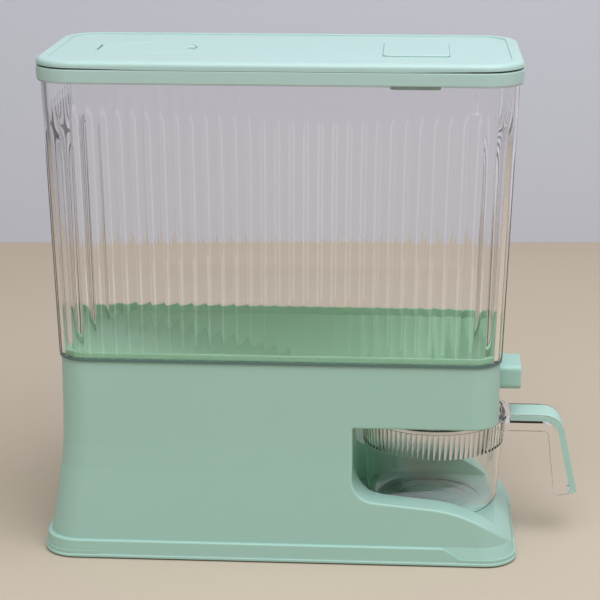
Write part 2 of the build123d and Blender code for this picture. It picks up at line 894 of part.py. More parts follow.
def make_flip_cap():
    """Round flap with a finger notch, a hollow plug and a hinge barrel."""
    seat = panel_top - cap_thickness
    hinge_x = cap_x - hinge_reach
    axis_height = hinge_axis_height()
    cap = cap_place() * drum(cap_radius, seat, panel_top)
    plug = drum(cap_plug_radius, seat - cap_plug_depth, seat)
    plug -= drum(cap_plug_radius - cap_plug_wall, seat - cap_plug_depth, seat)
    cap += cap_place() * plug
    cap += block(hinge_x, cap_x, hinge_width, seat, panel_top)
    cap += along_y(hinge_radius, hinge_width, hinge_x, axis_height)
    cap -= cap_place(cap_radius) * drum(notch_radius, seat, panel_top)
    cap -= along_y(pin_radius + pin_clearance, hinge_width, hinge_x, axis_height)
    groove_end = cap_x - cap_radius
    return cap - block(
        hinge_x - hinge_radius, groove_end, hinge_groove, panel_top - hinge_groove_depth, panel_top
    )


def make_cap_seal():
    """Soft ring round the cap's plug."""
    low = panel_top - cap_thickness - cap_plug_depth + cap_seal_lift
    outer = drum(port_radius - cap_seal_clearance, low, low + cap_seal_height)
    return cap_place() * (outer - drum(cap_plug_radius, low, low + cap_seal_height))


def make_cap_hinge_pin():
    """Hinge pin held in the cover's two ears."""
    width = hinge_width + 2 * (hinge_gap + ear_width)
    return along_y(pin_radius, width, cap_x - hinge_reach, hinge_axis_height())


# Freshness box


def make_freshness_cover():
    """Raised tab that closes the box and hangs it in the well."""
    tab_low = cover_top - tab_thickness
    tab = rim_rounded(slab(tab_length, tab_depth, tab_corner, tab_low, cover_top), tab_edge)
    return Pos(tab_x, 0, 0) * tab


def make_freshness_box():
    """Open-topped box with a slotted floor, under the tab."""
    top = cover_top - tab_thickness
    low = top - box_height
    outline = well_outline(0)
    box = inset_slab(outline, 0, low, top) - inset_slab(outline, box_wall, low + box_wall, top)
    slot = slab(box_slot_length, box_slot_width, box_slot_width / 2 - box_clearance, low, low + box_wall)
    for i in range(box_slot_count):
        box -= Pos(0, (i - (box_slot_count - 1) / 2) * box_slot_pitch, 0) * slot
    return Pos(tab_x, 0, 0) * box


# Measuring cup


def cup_low():
    """Height of the cup's foot, just off the floor of the bay."""
    return bay_floor + cup_rest_gap


def cup_radius(height):
    """Outer radius of the cup's plain wall at a height."""
    return cup_base_radius + (cup_rim_radius - cup_base_radius) * (height - cup_low()) / cup_height


def fluted_circle(height):
    """Scalloped circle whose valleys lie on the cup's wall."""
    radius = cup_radius(height) + cup_flute_height
    stations = []
    for i in range(2 * cup_flutes):
        angle = math.pi * i / cup_flutes
        direction = (math.cos(angle), math.sin(angle))
        stations.append(((radius * direction[0], radius * direction[1]), direction))
    return flute_face(stations, height, cup_flute_height)


def cone(low, high, inset=0):
    """Frustum between two heights of the cup's wall, drawn in by an inset."""
    circles = [Pos(0, 0, z) * Circle(cup_radius(z) - inset) for z in (low, high)]
    return loft(circles, ruled=True)


def handle_corners(depth):
    """Root, corner and tip of the handle's line at a depth below its outer face."""
    top = cup_low() + cup_height + handle_lift
    tip = (foot_length / 2 + handle_overhang, handle_tip_height)
    run = (tip[0] - handle_corner_x, tip[1] - top)
    length = math.hypot(*run)
    along = (run[0] / length, run[1] / length)
    inward = (along[1], -along[0])
    low_tip = (tip[0] + depth * inward[0], tip[1] + depth * inward[1])
    climb = (top - depth - low_tip[1]) / along[1]
    corner = (low_tip[0] + climb * along[0], top - depth)
    return corner, low_tip


def handle_bend_radius(depth):
    """Radius of the handle's bend at a depth below its outer face."""
    return max(handle_bend - depth, handle_inner_bend)


def handle_band(start, outer_depth, inner_depth, widening=0):
    """XZ face between two depths of the handle, from a start line round the bend to the tip."""
    top = cup_low() + cup_height + handle_lift
    outer_corner, outer_tip = handle_corners(outer_depth)
    inner_corner = handle_corners(inner_depth)[0]
    inner_tip = handle_corners(inner_depth + widening)[1]
    outer_root = (start, top - outer_depth)
    inner_root = (start, top - inner_depth)
    outer = FilletPolyline(outer_root, outer_corner, outer_tip, radius=handle_bend_radius(outer_depth))
    inner = FilletPolyline(inner_root, inner_corner, inner_tip, radius=handle_bend_radius(inner_depth))
    ends = [Line(outer_tip, inner_tip), Line(inner_root, outer_root)]
    return make_face(outer.edges() + inner.edges() + ends)


def grip_x():
    """X at which the strip on the handle starts."""
    return cup_x + cup_rim_radius + grip_start


def make_handle():
    """Clear handle: two cheeks joined by a web, with the strip's groove outside and a channel inside."""
    root = cup_x + cup_rim_radius - handle_root
    widening = handle_tip_depth - handle_depth
    room = handle_width - 2 * handle_wall
    handle = across(handle_band(root, 0, handle_depth, widening), handle_width)
    channel = handle_band(root, grip_thickness + handle_wall, handle_depth + overrun, widening)
    handle -= across(channel, room)
    return handle - across(handle_band(grip_x() - grip_clearance, -overrun, grip_thickness), room)


def cup_foot():
    """Recess under the cup, crossed by concentric rings."""
    low = cup_low()
    radius = cup_base_radius - cup_round - cup_foot_width
    recess = drum(radius, low - overrun, low + cup_foot_depth)
    for share in cup_ring_shares:
        rib = drum(radius * share, low, low + cup_foot_depth)
        recess -= rib - drum(radius * share - cup_ring_width, low, low + cup_foot_depth)
    return recess


def make_measuring_cup():
    """Clear cup with a rounded foot, a fluted band under its rim and a handle."""
    low = cup_low()
    top = low + cup_height
    band_high = top - cup_bead_height
    band_low = band_high - cup_band_height
    body = cone(low, band_low)
    body = fillet(body.edges().sort_by(Axis.Z)[:1], cup_round)
    body += loft([fluted_circle(band_low), fluted_circle(band_high)], ruled=True)
    body += drum(cup_radius(top) + cup_bead, band_high, top)
    cup = Pos(cup_x, 0, 0) * body + make_handle()
    inside = cone(low + cup_floor, top + overrun, cup_wall)
    inside = fillet(inside.edges().sort_by(Axis.Z)[:1], cup_round - cup_wall)
    return cup - Pos(cup_x, 0, 0) * inside - Pos(cup_x, 0, 0) * cup_foot()


def make_handle_grip():
    """Strip in the groove of the handle's outer face."""
    width = handle_width - 2 * (handle_wall + grip_clearance)
    return across(handle_band(grip_x(), 0, grip_thickness), width)


NODES = {
    "base_shell": make_base_shell,
    "base_feet": make_base_feet,
    "hopper": make_hopper,
    "hopper_screws": lambda: make_ceiling_screws(post_places()),
    "gate_guide": make_gate_guide,
    "guide_screws": lambda: make_ceiling_screws(boss_places()),
    "gate_slider": make_gate_slider,
    "return_spring_front": lambda: make_return_spring(-1),
    "return_spring_back": lambda: make_return_spring(1),
    "push_button": make_push_button,
    "button_screws": make_button_screws,
    "bucket_gasket": make_bucket_gasket,
    "bucket": make_bucket,
    "lid_frame": make_lid_frame,
    "lid_cover": make_lid_cover,
    "lid_seal": make_lid_seal,
    "flip_cap": make_flip_cap,
    "cap_seal": make_cap_seal,
    "cap_hinge_pin": make_cap_hinge_pin,
    "freshness_cover": make_freshness_cover,
    "freshness_box": make_freshness_box,
    "measuring_cup": make_measuring_cup,
    "handle_grip": make_handle_grip,
}


def placed(piece):
    """Piece moved from the middle of the base to the part's own frame."""
    solids = [Pos(frame_shift, 0, 0) * solid for solid in piece.solids()]
    return solids[0] if len(solids) == 1 else group(solids)


os.makedirs("parts", exist_ok=True)
for name, make in NODES.items():
    export_step(placed(make()), os.path.join("parts", name + ".step"))
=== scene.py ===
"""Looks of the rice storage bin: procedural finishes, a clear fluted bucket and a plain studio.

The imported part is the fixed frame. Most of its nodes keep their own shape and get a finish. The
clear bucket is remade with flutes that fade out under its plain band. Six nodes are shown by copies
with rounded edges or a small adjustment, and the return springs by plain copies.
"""

import json
import logging
import math
from dataclasses import dataclass
from enum import Enum
from typing import Callable, Sequence, Union

import bmesh
import bpy
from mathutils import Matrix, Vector


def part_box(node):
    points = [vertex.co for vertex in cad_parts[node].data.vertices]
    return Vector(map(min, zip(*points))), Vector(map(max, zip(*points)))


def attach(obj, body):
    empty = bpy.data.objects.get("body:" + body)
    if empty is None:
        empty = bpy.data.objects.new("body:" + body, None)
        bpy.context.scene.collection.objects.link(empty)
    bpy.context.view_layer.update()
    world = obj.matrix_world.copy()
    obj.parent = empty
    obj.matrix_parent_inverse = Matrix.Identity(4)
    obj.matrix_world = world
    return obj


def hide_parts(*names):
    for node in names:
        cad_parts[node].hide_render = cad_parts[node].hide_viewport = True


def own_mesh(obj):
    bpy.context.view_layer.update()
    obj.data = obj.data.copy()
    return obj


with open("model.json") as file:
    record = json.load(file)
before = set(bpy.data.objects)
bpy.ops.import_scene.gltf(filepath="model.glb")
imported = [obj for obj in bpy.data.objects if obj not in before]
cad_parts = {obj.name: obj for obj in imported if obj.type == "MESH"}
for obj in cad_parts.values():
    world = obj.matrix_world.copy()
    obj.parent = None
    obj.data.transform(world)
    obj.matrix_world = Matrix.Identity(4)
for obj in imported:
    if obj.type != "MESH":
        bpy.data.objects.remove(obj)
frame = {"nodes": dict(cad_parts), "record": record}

LOG = logging.getLogger("rice_bin")

Colour = tuple[float, float, float]
Point = tuple[float, float, float]
Station = tuple[float, float, float, float]
Ring = list[Vector]
Socket = bpy.types.NodeSocket
Value = Union[Socket, float]
Materials = dict[str, bpy.types.Material]

WHITE: Colour = (1.0, 1.0, 1.0)


class Shading(Enum):
    """How a mesh is shaded, by the angle in degrees above which an edge stays crisp."""

    SOFT = 50.0
    MOULDED = 30.0
    TURNED = 24.0


# Node trees


class Tree:
    """Short hand for building a shader node tree."""

    def __init__(self, tree: bpy.types.NodeTree) -> None:
        """Keeps the tree that is being built."""
        self.tree = tree

    def add(self, kind: str, **values: object) -> bpy.types.Node:
        """Adds a node.

        Args:
            kind: Node type name.
            values: Attributes to set on it.

        Returns:
            The new node.
        """
        node = self.tree.nodes.new(kind)
        for key, value in values.items():
            setattr(node, key, value)
        return node

    def link(self, source: Socket, target: Socket) -> None:
        """Joins two sockets."""
        self.tree.links.new(source, target)

    def feed(self, value: Value, target: Socket) -> None:
        """Links a socket to an input, or sets the input to a number.

        Args:
            value: Number or socket.
            target: Input that takes it.
        """
        if isinstance(value, Socket):
            self.link(value, target)
        else:
            target.default_value = value

    def math(self, operation: str, *values: Value) -> Socket:
        """Adds a maths node.

        Args:
            operation: Name of the operation.
            values: Numbers or sockets that it works on.

        Returns:
            The result.
        """
        node = self.add("ShaderNodeMath", operation=operation)
        for value, target in zip(values, node.inputs):
            self.feed(value, target)
        return node.outputs[0]

    def noise(self, vector: Socket, scale: Value, detail: float) -> Socket:
        """Adds a noise texture.

        Args:
            vector: Coordinates.
            scale: Number or socket that sets how fine it is.
            detail: Octaves of detail.

        Returns:
            The noise value.
        """
        node = self.add("ShaderNodeTexNoise")
        self.feed(vector, node.inputs["Vector"])
        self.feed(scale, node.inputs["Scale"])
        self.feed(detail, node.inputs["Detail"])
        return node.outputs[0]

    def spread(self, value: Socket, low: Value, high: Value) -> Socket:
        """Maps a value from 0..1 to a range whose ends are numbers or sockets.

        Args:
            value: Value to map.
            low: Result at 0.
            high: Result at 1.

        Returns:
            The mapped value.
        """
        node = self.add("ShaderNodeMapRange")
        self.feed(value, node.inputs["Value"])
        self.feed(low, node.inputs["To Min"])
        self.feed(high, node.inputs["To Max"])
        return node.outputs[0]


class Kind(Enum):
    """Kinds of socket on a shared effect."""

    NUMBER = "NodeSocketFloat"
    COLOUR = "NodeSocketColor"


class EffectTree(Tree):
    """Tree of a new shader node group with named inputs and outputs."""

    def __init__(self, name: str, inputs: dict[str, Kind], outputs: dict[str, Kind]) -> None:
        """Makes the group, its sockets and the coordinates that all effects start from.

        Args:
            name: Name of the group.
            inputs: Kind of each input by its name.
            outputs: Kind of each output by its name.
        """
        super().__init__(bpy.data.node_groups.new(name, "ShaderNodeTree"))
        for way, sockets in (("INPUT", inputs), ("OUTPUT", outputs)):
            for label, kind in sockets.items():
                self.tree.interface.new_socket(label, in_out=way, socket_type=kind.value)
        self.start = self.add("NodeGroupInput")
        self.end = self.add("NodeGroupOutput")
        self.place = self.add("ShaderNodeTexCoord").outputs["Object"]


class Effect(Enum):
    """Shared effects, each a shader node group that is built once."""

    MOULD_GRAIN = "mould_grain"
    FLOW_TINT = "flow_tint"
    HANDLING = "handling_marks"

    def group(self) -> bpy.types.NodeTree:
        """Gives the effect's node group and builds it at the first call."""
        found = bpy.data.node_groups.get(self.value)
        return found or BUILDERS[self](self.value)


@dataclass(frozen=True)
class MouldGrain:
    """Fine spark-eroded grain of a moulded surface over a slower unevenness."""

    detail: float = 3.0
    slow_scale_share: float = 0.03
    slow_detail: float = 2.0
    slow_height: float = 0.5
    middle: float = 0.5

    def build(self, name: str) -> bpy.types.NodeTree:
        """Builds the group.

        Args:
            name: Name of the group.

        Returns:
            A group that gives a bump height and a roughness.
        """
        tree = EffectTree(
            name,
            {"Scale": Kind.NUMBER, "Roughness": Kind.NUMBER, "Uneven": Kind.NUMBER},
            {"Height": Kind.NUMBER, "Roughness": Kind.NUMBER},
        )
        given, result = tree.start.outputs, tree.end.inputs
        fine = tree.noise(tree.place, given["Scale"], self.detail)
        slow_scale = tree.math("MULTIPLY", given["Scale"], self.slow_scale_share)
        slow = tree.noise(tree.place, slow_scale, self.slow_detail)
        rise = tree.math("MULTIPLY", slow, self.slow_height)
        tree.link(tree.math("ADD", fine, rise), result["Height"])
        swing = tree.math("MULTIPLY", tree.math("SUBTRACT", slow, self.middle), given["Uneven"])
        tree.link(tree.math("ADD", given["Roughness"], swing), result["Roughness"])
        return tree.tree


@dataclass(frozen=True)
class FlowTint:
    """Slow drift between two shades with fine specks, as pigment shows in a moulding."""

    detail: float = 2.0
    speck_scale_share: float = 70.0
    speck: float = 0.15
    middle: float = 0.5

    def build(self, name: str) -> bpy.types.NodeTree:
        """Builds the group.

        Args:
            name: Name of the group.

        Returns:
            A group that gives a colour.
        """
        tree = EffectTree(
            name,
            {"Colour": Kind.COLOUR, "Shade": Kind.COLOUR, "Scale": Kind.NUMBER},
            {"Colour": Kind.COLOUR},
        )
        given, result = tree.start.outputs, tree.end.inputs
        slow = tree.noise(tree.place, given["Scale"], self.detail)
        fine_scale = tree.math("MULTIPLY", given["Scale"], self.speck_scale_share)
        fine = tree.noise(tree.place, fine_scale, self.detail)
        speck = tree.math("MULTIPLY", tree.math("SUBTRACT", fine, self.middle), self.speck)
        mix = tree.add("ShaderNodeMix", data_type="RGBA")
        tree.link(tree.math("ADD", slow, speck), mix.inputs["Factor"])
        tree.link(given["Colour"], mix.inputs["A"])
        tree.link(given["Shade"], mix.inputs["B"])
        tree.link(mix.outputs["Result"], result["Colour"])
        return tree.tree


@dataclass(frozen=True)
class HandlingMarks:
    """Faint smears on a clear surface."""

    smear_detail: float = 5.0
    smear_power: float = 3.0
    wave_scale_share: float = 2.0
    wave_detail: float = 1.0

    def build(self, name: str) -> bpy.types.NodeTree:
        """Builds the group.

        Args:
            name: Name of the group.

        Returns:
            A group that gives a roughness and a bump height.
        """
        tree = EffectTree(
            name,
            {"Scale": Kind.NUMBER, "Clean": Kind.NUMBER, "Smeared": Kind.NUMBER},
            {"Roughness": Kind.NUMBER, "Height": Kind.NUMBER},
        )
        given, result = tree.start.outputs, tree.end.inputs
        smear = tree.noise(tree.place, given["Scale"], self.smear_detail)
        patches = tree.math("POWER", smear, self.smear_power)
        tree.link(tree.spread(patches, given["Clean"], given["Smeared"]), result["Roughness"])
        wave_scale = tree.math("MULTIPLY", given["Scale"], self.wave_scale_share)
        tree.link(tree.noise(tree.place, wave_scale, self.wave_detail), result["Height"])
        return tree.tree


BUILDERS: dict[Effect, Callable[[str], bpy.types.NodeTree]] = {
    Effect.MOULD_GRAIN: MouldGrain().build,
    Effect.FLOW_TINT: FlowTint().build,
    Effect.HANDLING: HandlingMarks().build,
}


# Finishes


def opaque(colour: Colour) -> tuple[float, float, float, float]:
    """Gives a colour with full alpha."""
    return (*colour, 1.0)


class Paint:
    """A new material with its Principled shader and helpers to dress it."""

    def __init__(self, name: str) -> None:
        """Makes an empty material.

        Args:
            name: Name of the material.
        """
        self.material = bpy.data.materials.new(name)
        self.material.use_nodes = True
        self.tree = Tree(self.material.node_tree)
        self.shader = self.material.node_tree.nodes["Principled BSDF"]
        self.out = self.material.node_tree.nodes["Material Output"]

    def set(self, **values: object) -> None:
        """Sets sockets of the shader, with underscores for the spaces in their names."""
        for key, value in values.items():
            self.shader.inputs[key.replace("_", " ")].default_value = value

    def effect(self, effect: Effect, **values: object) -> bpy.types.Node:
        """Places a shared effect with its own values.

        Args:
            effect: Effect to place.
            values: Values of its inputs.

        Returns:
            The group node.
        """
        node = self.tree.add("ShaderNodeGroup", node_tree=effect.group())
        for key, value in values.items():
            node.inputs[key].default_value = value
        return node

    def tint(self, colour: Colour, shade: Colour, scale: float) -> None:
        """Colours the shader with a drift between two shades.

        Args:
            colour: First shade.
            shade: Second shade.
            scale: How fine the drift is.
        """
        drift = self.effect(Effect.FLOW_TINT, Colour=opaque(colour), Shade=opaque(shade), Scale=scale)
        self.tree.link(drift.outputs["Colour"], self.shader.inputs["Base Color"])

    def bump(self, height: Socket, strength: float, depth: float) -> None:
        """Drives the shader's normal by a height.

        Args:
            height: Height socket.
            strength: Strength of the bump.
            depth: Depth in metres.
        """
        node = self.tree.add("ShaderNodeBump")
        self.tree.feed(strength, node.inputs["Strength"])
        self.tree.feed(depth, node.inputs["Distance"])
        self.tree.feed(height, node.inputs["Height"])
        self.tree.link(node.outputs["Normal"], self.shader.inputs["Normal"])

    def clear_where(self, mask: Socket, colour: Colour) -> None:
        """Lets rays straight through where a mask is 1.

        Args:
            mask: Mask socket.
            colour: Colour that the rays take on.
        """
        clear = self.tree.add("ShaderNodeBsdfTransparent")
        clear.inputs["Color"].default_value = opaque(colour)
        mix = self.tree.add("ShaderNodeMixShader")
        sources = (mask, self.shader.outputs["BSDF"], clear.outputs["BSDF"])
        for source, target in zip(sources, mix.inputs):
            self.tree.link(source, target)
        self.tree.link(mix.outputs["Shader"], self.out.inputs["Surface"])


@dataclass(frozen=True)
class GrainedFinish:
    """Finish whose colour drifts between two shades under a fine grain."""

    name: str
    colour: Colour
    shade: Colour
    roughness: float = 0.42
    uneven: float = 0.06
    drift: float = 9.0
    grain: float = 1500.0
    grain_strength: float = 0.25
    grain_depth: float = 0.00003

    def paint(self) -> Paint:
        """Builds what these finishes share.

        Returns:
            A material with its colour, its roughness and its bump.
        """
        paint = Paint(self.name)
        paint.tint(self.colour, self.shade, self.drift)
        values = {"Scale": self.grain, "Roughness": self.roughness, "Uneven": self.uneven}
        grain = paint.effect(Effect.MOULD_GRAIN, **values)
        paint.tree.link(grain.outputs["Roughness"], paint.shader.inputs["Roughness"])
        paint.bump(grain.outputs["Height"], self.grain_strength, self.grain_depth)
        return paint


@dataclass(frozen=True)
class MouldedPlastic(GrainedFinish):
    """Satin pigmented plastic that light enters a little."""

    ior: float = 1.5
    glow: float = 0.4
    glow_radius: Colour = (0.004, 0.006, 0.005)
    glow_scale: float = 0.5

    def material(self) -> bpy.types.Material:
        """Builds the material.

        Returns:
            The plastic.
        """
        paint = self.paint()
        paint.set(IOR=self.ior, Subsurface_Weight=self.glow)
        paint.set(Subsurface_Radius=self.glow_radius, Subsurface_Scale=self.glow_scale)
        return paint.material


@dataclass(frozen=True)
class SoftRubber(GrainedFinish):
    """Matte silicone."""

    roughness: float = 0.62
    uneven: float = 0.1
    drift: float = 25.0
    grain: float = 700.0
    grain_strength: float = 0.2
    grain_depth: float = 0.00005
    ior: float = 1.41
    glow: float = 0.1
    glow_scale: float = 0.5

    def material(self) -> bpy.types.Material:
        """Builds the material.

        Returns:
            The silicone.
        """
        paint = self.paint()
        paint.set(IOR=self.ior, Subsurface_Weight=self.glow, Subsurface_Scale=self.glow_scale)
        return paint.material


@dataclass(frozen=True)
class DrawnSteel(GrainedFinish):
    """Plated or drawn steel with a fine uneven sheen."""

    roughness: float = 0.32
    uneven: float = 0.25
    drift: float = 120.0
    grain: float = 2500.0
    grain_strength: float = 0.3
    grain_depth: float = 0.00002

    def material(self) -> bpy.types.Material:
        """Builds the material.

        Returns:
            The steel.
        """
        paint = self.paint()
        paint.set(Metallic=1.0)
        return paint.material


@dataclass(frozen=True)
class ClearPlastic:
    """Clear moulded plastic with faint handling marks, whose shadows stay light."""

    name: str
    colour: Colour
    shadow: Colour
    ior: float = 1.5
    clean: float = 0.015
    smeared: float = 0.07
    marks: float = 30.0
    mark_strength: float = 0.08
    mark_depth: float = 0.0002

    def material(self) -> bpy.types.Material:
        """Builds the material.

        Returns:
            The clear plastic, which lets shadow rays through.
        """
        paint = Paint(self.name)
        values = {"Scale": self.marks, "Clean": self.clean, "Smeared": self.smeared}
        marks = paint.effect(Effect.HANDLING, **values)
        paint.tree.link(marks.outputs["Roughness"], paint.shader.inputs["Roughness"])
        paint.bump(marks.outputs["Height"], self.mark_strength, self.mark_depth)
        paint.set(Base_Color=opaque(self.colour), Transmission_Weight=1.0, IOR=self.ior)
        path = paint.tree.add("ShaderNodeLightPath")
        paint.clear_where(path.outputs["Is Shadow Ray"], self.shadow)
        return paint.material


FINISHES = (
    MouldedPlastic("mint_body", (0.37, 0.57, 0.475), (0.35, 0.545, 0.45)),
    MouldedPlastic("mint_hopper", (0.25, 0.48, 0.275), (0.23, 0.45, 0.255), roughness=0.38),
    # Lid mint, paler and greyer than the body: partly the plastic's colour, partly painted sheen of its
    # lit top.
    MouldedPlastic("mint_lid", (0.43, 0.59, 0.525), (0.41, 0.565, 0.505), roughness=0.40),
    MouldedPlastic("mint_grip", (0.41, 0.62, 0.515), (0.385, 0.59, 0.485), roughness=0.34),
    ClearPlastic("clear_bucket", (0.985, 0.98, 0.99), (0.92, 0.92, 0.93)),
    ClearPlastic("clear_cup", (0.985, 0.99, 0.985), (0.93, 0.94, 0.93)),
    # Green rubber gasket under the bucket; its darkness is partly painted shade of the gap line there.
    SoftRubber("gasket_green", (0.10, 0.175, 0.145), (0.085, 0.155, 0.125)),
    SoftRubber("seal_silicone", (0.62, 0.68, 0.65), (0.55, 0.62, 0.59)),
    SoftRubber("pad_silicone", (0.45, 0.49, 0.47), (0.40, 0.44, 0.42)),
    DrawnSteel("screw_steel", (0.55, 0.56, 0.57), (0.45, 0.46, 0.47)),
    DrawnSteel("spring_steel", (0.50, 0.50, 0.52), (0.38, 0.38, 0.40), roughness=0.25),
)


def give_finish(piece: bpy.types.Object, slot: str, materials: Materials) -> None:
    """Gives an object one finish.

    Args:
        piece: Object to dress.
        slot: Name of the finish and of the record's slot.
        materials: Built finishes by name.
    """
    piece.data.materials.clear()
    piece.data.materials.append(materials[slot])


# Meshes

MICROMETRES = 1e6  # in a metre
FAINT = 1e-9  # weight that gives an empty sum of normals a direction


def soften(mesh: bpy.types.Mesh, shading: Shading) -> None:
    """Shades a mesh smooth and keeps its crisp edges."""
    mesh.polygons.foreach_set("use_smooth", [True] * len(mesh.polygons))
    mesh.set_sharp_from_angle(angle=math.radians(shading.value))


def new_object(name: str, mesh: bpy.types.Mesh, shading: Shading) -> bpy.types.Object:
    """Links a mesh as an object of the scene.

    Args:
        name: Name of the object.
        mesh: Its mesh.
        shading: How its edges are shaded.

    Returns:
        The new object.
    """
    soften(mesh, shading)
    made = bpy.data.objects.new(name, mesh)
    bpy.context.scene.collection.objects.link(made)
    return made


def plate(name: str, corners: Sequence[Vector]) -> bpy.types.Object:
    """Makes a flat object of one face.

    Args:
        name: Name of the object.
        corners: Corners of the face, in order.

    Returns:
        The new object.
    """
    mesh = bpy.data.meshes.new(name)
    mesh.from_pydata(corners, [], [tuple(range(len(corners)))])
    return new_object(name, mesh, Shading.SOFT)


def turn_outwards(mesh: bpy.types.Mesh) -> None:
    """Turns all faces of a closed mesh outwards.

    Args:
        mesh: Mesh to mend.
    """
    work = bmesh.new()
    work.from_mesh(mesh)
    bmesh.ops.recalc_face_normals(work, faces=work.faces)
    work.to_mesh(mesh)
    work.free()


def loop_mesh(name: str, rings: Sequence[Ring], shading: Shading) -> bpy.types.Object:
    """Skins rings of points and joins the last ring to the first.

    Args:
        name: Name of the object.
        rings: Rings of equally many points.
        shading: How its edges are shaded.

    Returns:
        The new object.
    """
    mesh = bpy.data.meshes.new(name)
    count = len(rings[0])
    points = [point for ring in rings for point in ring]
    faces = []
    for i in range(len(rings)):
        here, there = i * count, ((i + 1) % len(rings)) * count
        for j in range(count):
            k = (j + 1) % count
            faces.append((here + j, here + k, there + k, there + j))
    mesh.from_pydata(points, [], faces)
    turn_outwards(mesh)
    return new_object(name, mesh, shading)


def whole_micrometres(point: Vector) -> tuple[int, ...]:
    """Gives a point's coordinates in whole micrometres."""
    return tuple(round(value * MICROMETRES) for value in point)


def settle_normals(mesh: bpy.types.Mesh, source: bpy.types.Mesh, reach: float = 0.6) -> None:
    """Gives unchanged corners their source's normals and the others an average by face area.

    Args:
        mesh: Mesh to shade.
        source: Mesh that it was made from.
        reach: Cosine of the angle up to which faces at a point are averaged.
    """
    known: dict[tuple[int, ...], list[Vector]] = {}
    for loop in source.loops:
        place = whole_micrometres(source.vertices[loop.vertex_index].co)
        known.setdefault(place, []).append(source.corner_normals[loop.index].vector.copy())
    around: list[list[Vector]] = [[] for _ in mesh.vertices]
    for face in mesh.polygons:
        for vertex in face.vertices:
            around[vertex].append(face.normal * face.area)
    settled = []
    for face in mesh.polygons:
        for vertex in face.vertices:
            choices = known.get(whole_micrometres(mesh.vertices[vertex].co), [])
            normal = max(choices, key=face.normal.dot, default=Vector())
            if normal.dot(face.normal) < reach:
                near = [side for side in around[vertex] if side.dot(face.normal) > reach * side.length]
                normal = sum(near, face.normal * FAINT).normalized()
            settled.append(normal)
    mesh.normals_split_custom_set(settled)


# Bucket

QUARTER_TURN = 90.0  # degrees
LONGEST_ROUND_SHARE = 0.3  # most of a flat that the rounding at its end may take
HOLD_SHARE = 1.4  # distance of the level that holds a flat, over the length of the rounding


def between(first: float, last: float, share: float) -> float:
    """Gives the value at a share of the way from one value to another."""
    return first + (last - first) * share


def bulge(step: int, steps: int) -> float:
    """Gives the height of a flute's bulge, 0 in its valleys and 1 on its crest."""
    across = 2.0 * (step % steps) / steps - 1.0
    return 1.0 - across * across


def ease(value: float) -> float:
    """Gives a smooth step from 0 to 1."""
    held = min(max(value, 0.0), 1.0)
    return held * held * (3.0 - 2.0 * held)


@dataclass(frozen=True)
class Outline:
    """Rounded rectangle about the bucket's upright axis, in metres."""

    length: float
    depth: float
    corner: float

    def toward(self, other: "Outline", share: float) -> "Outline":
        """Gives the outline at a share of the way to another.

        Args:
            other: Outline at the end of the way.
            share: Share of the way.

        Returns:
            The outline between them.
        """
        return Outline(
            between(self.length, other.length, share),
            between(self.depth, other.depth, share),
            between(self.corner, other.corner, share),
        )

    def grown(self, margin: float) -> "Outline":
        """Gives the outline grown by a margin on every side."""
        return Outline(self.length + 2 * margin, self.depth + 2 * margin, self.corner + margin)

    def stations(self, long_count: int, short_count: int, corner_count: int) -> list[Station]:
        """Walks round the outline.

        Args:
            long_count: Steps along each long side.
            short_count: Steps along each short side.
            corner_count: Steps along each corner.

        Returns:
            Place and outward direction of each station.
        """
        right, back = self.length / 2, self.depth / 2
        x, y = right - self.corner, back - self.corner
        sides = (
            ((-x, -back), (x, -back), (0.0, -1.0), long_count, (x, -y)),
            ((right, -y), (right, y), (1.0, 0.0), short_count, (x, y)),
            ((x, back), (-x, back), (0.0, 1.0), long_count, (-x, y)),
            ((-right, y), (-right, -y), (-1.0, 0.0), short_count, (-x, -y)),
        )
        found: list[Station] = []
        for index, (begin, end, out, steps, centre) in enumerate(sides):
            for i in range(steps):
                place = (between(first, last, i / steps) for first, last in zip(begin, end))
                found.append((*place, *out))
            angle = QUARTER_TURN * (index - 1)
            for i in range(corner_count):
                turn = math.radians(angle + QUARTER_TURN * i / corner_count)
                way = (math.cos(turn), math.sin(turn))
                place = (middle + self.corner * part for middle, part in zip(centre, way))
                found.append((*place, *way))
        return found


@dataclass(frozen=True)
class Level:
    """One corner or plain level of a wall's section, with how deep its flutes are."""

    height: float
    outline: Outline
    flutes: float = 0.0
    rounding: float = 0.0
    corner_flutes: float = 0.0

    def toward(self, other: "Level", share: float) -> "Level":
        """Gives the level at a share of the way to another.

        Args:
            other: Level at the end of the way.
            share: Share of the way.

        Returns:
            The level between them, with no rounding of its own.
        """
        return Level(
            between(self.height, other.height, share),
            self.outline.toward(other.outline, share),
            between(self.flutes, other.flutes, share),
            corner_flutes=between(self.corner_flutes, other.corner_flutes, share),
        )

    def distance(self, other: "Level") -> float:
        """Gives the distance to another level along the section."""
        return math.hypot(other.height - self.height, (other.outline.depth - self.outline.depth) / 2)


def rounded_section(levels: Sequence[Level], steps: int) -> list[Level]:
    """Rounds the corners of a closed section and holds the flats beside them with extra levels.

    Args:
        levels: Corners and plain levels of the section, in order.
        steps: Steps across each rounded corner.

    Returns:
        The levels of the rounded section.
    """
    found: list[Level] = []
    for i, here in enumerate(levels):
        if here.rounding == 0.0:
            found.append(here)
            continue
        before, after = levels[i - 1], levels[(i + 1) % len(levels)]
        back = min(here.rounding / here.distance(before), LONGEST_ROUND_SHARE)
        ahead = min(here.rounding / here.distance(after), LONGEST_ROUND_SHARE)
        first, last = here.toward(before, back), here.toward(after, ahead)
        found.append(here.toward(before, HOLD_SHARE * back))
        for j in range(steps + 1):
            t = j / steps
            found.append(first.toward(here, t).toward(here.toward(last, t), t))
        found.append(here.toward(after, HOLD_SHARE * ahead))
    return found


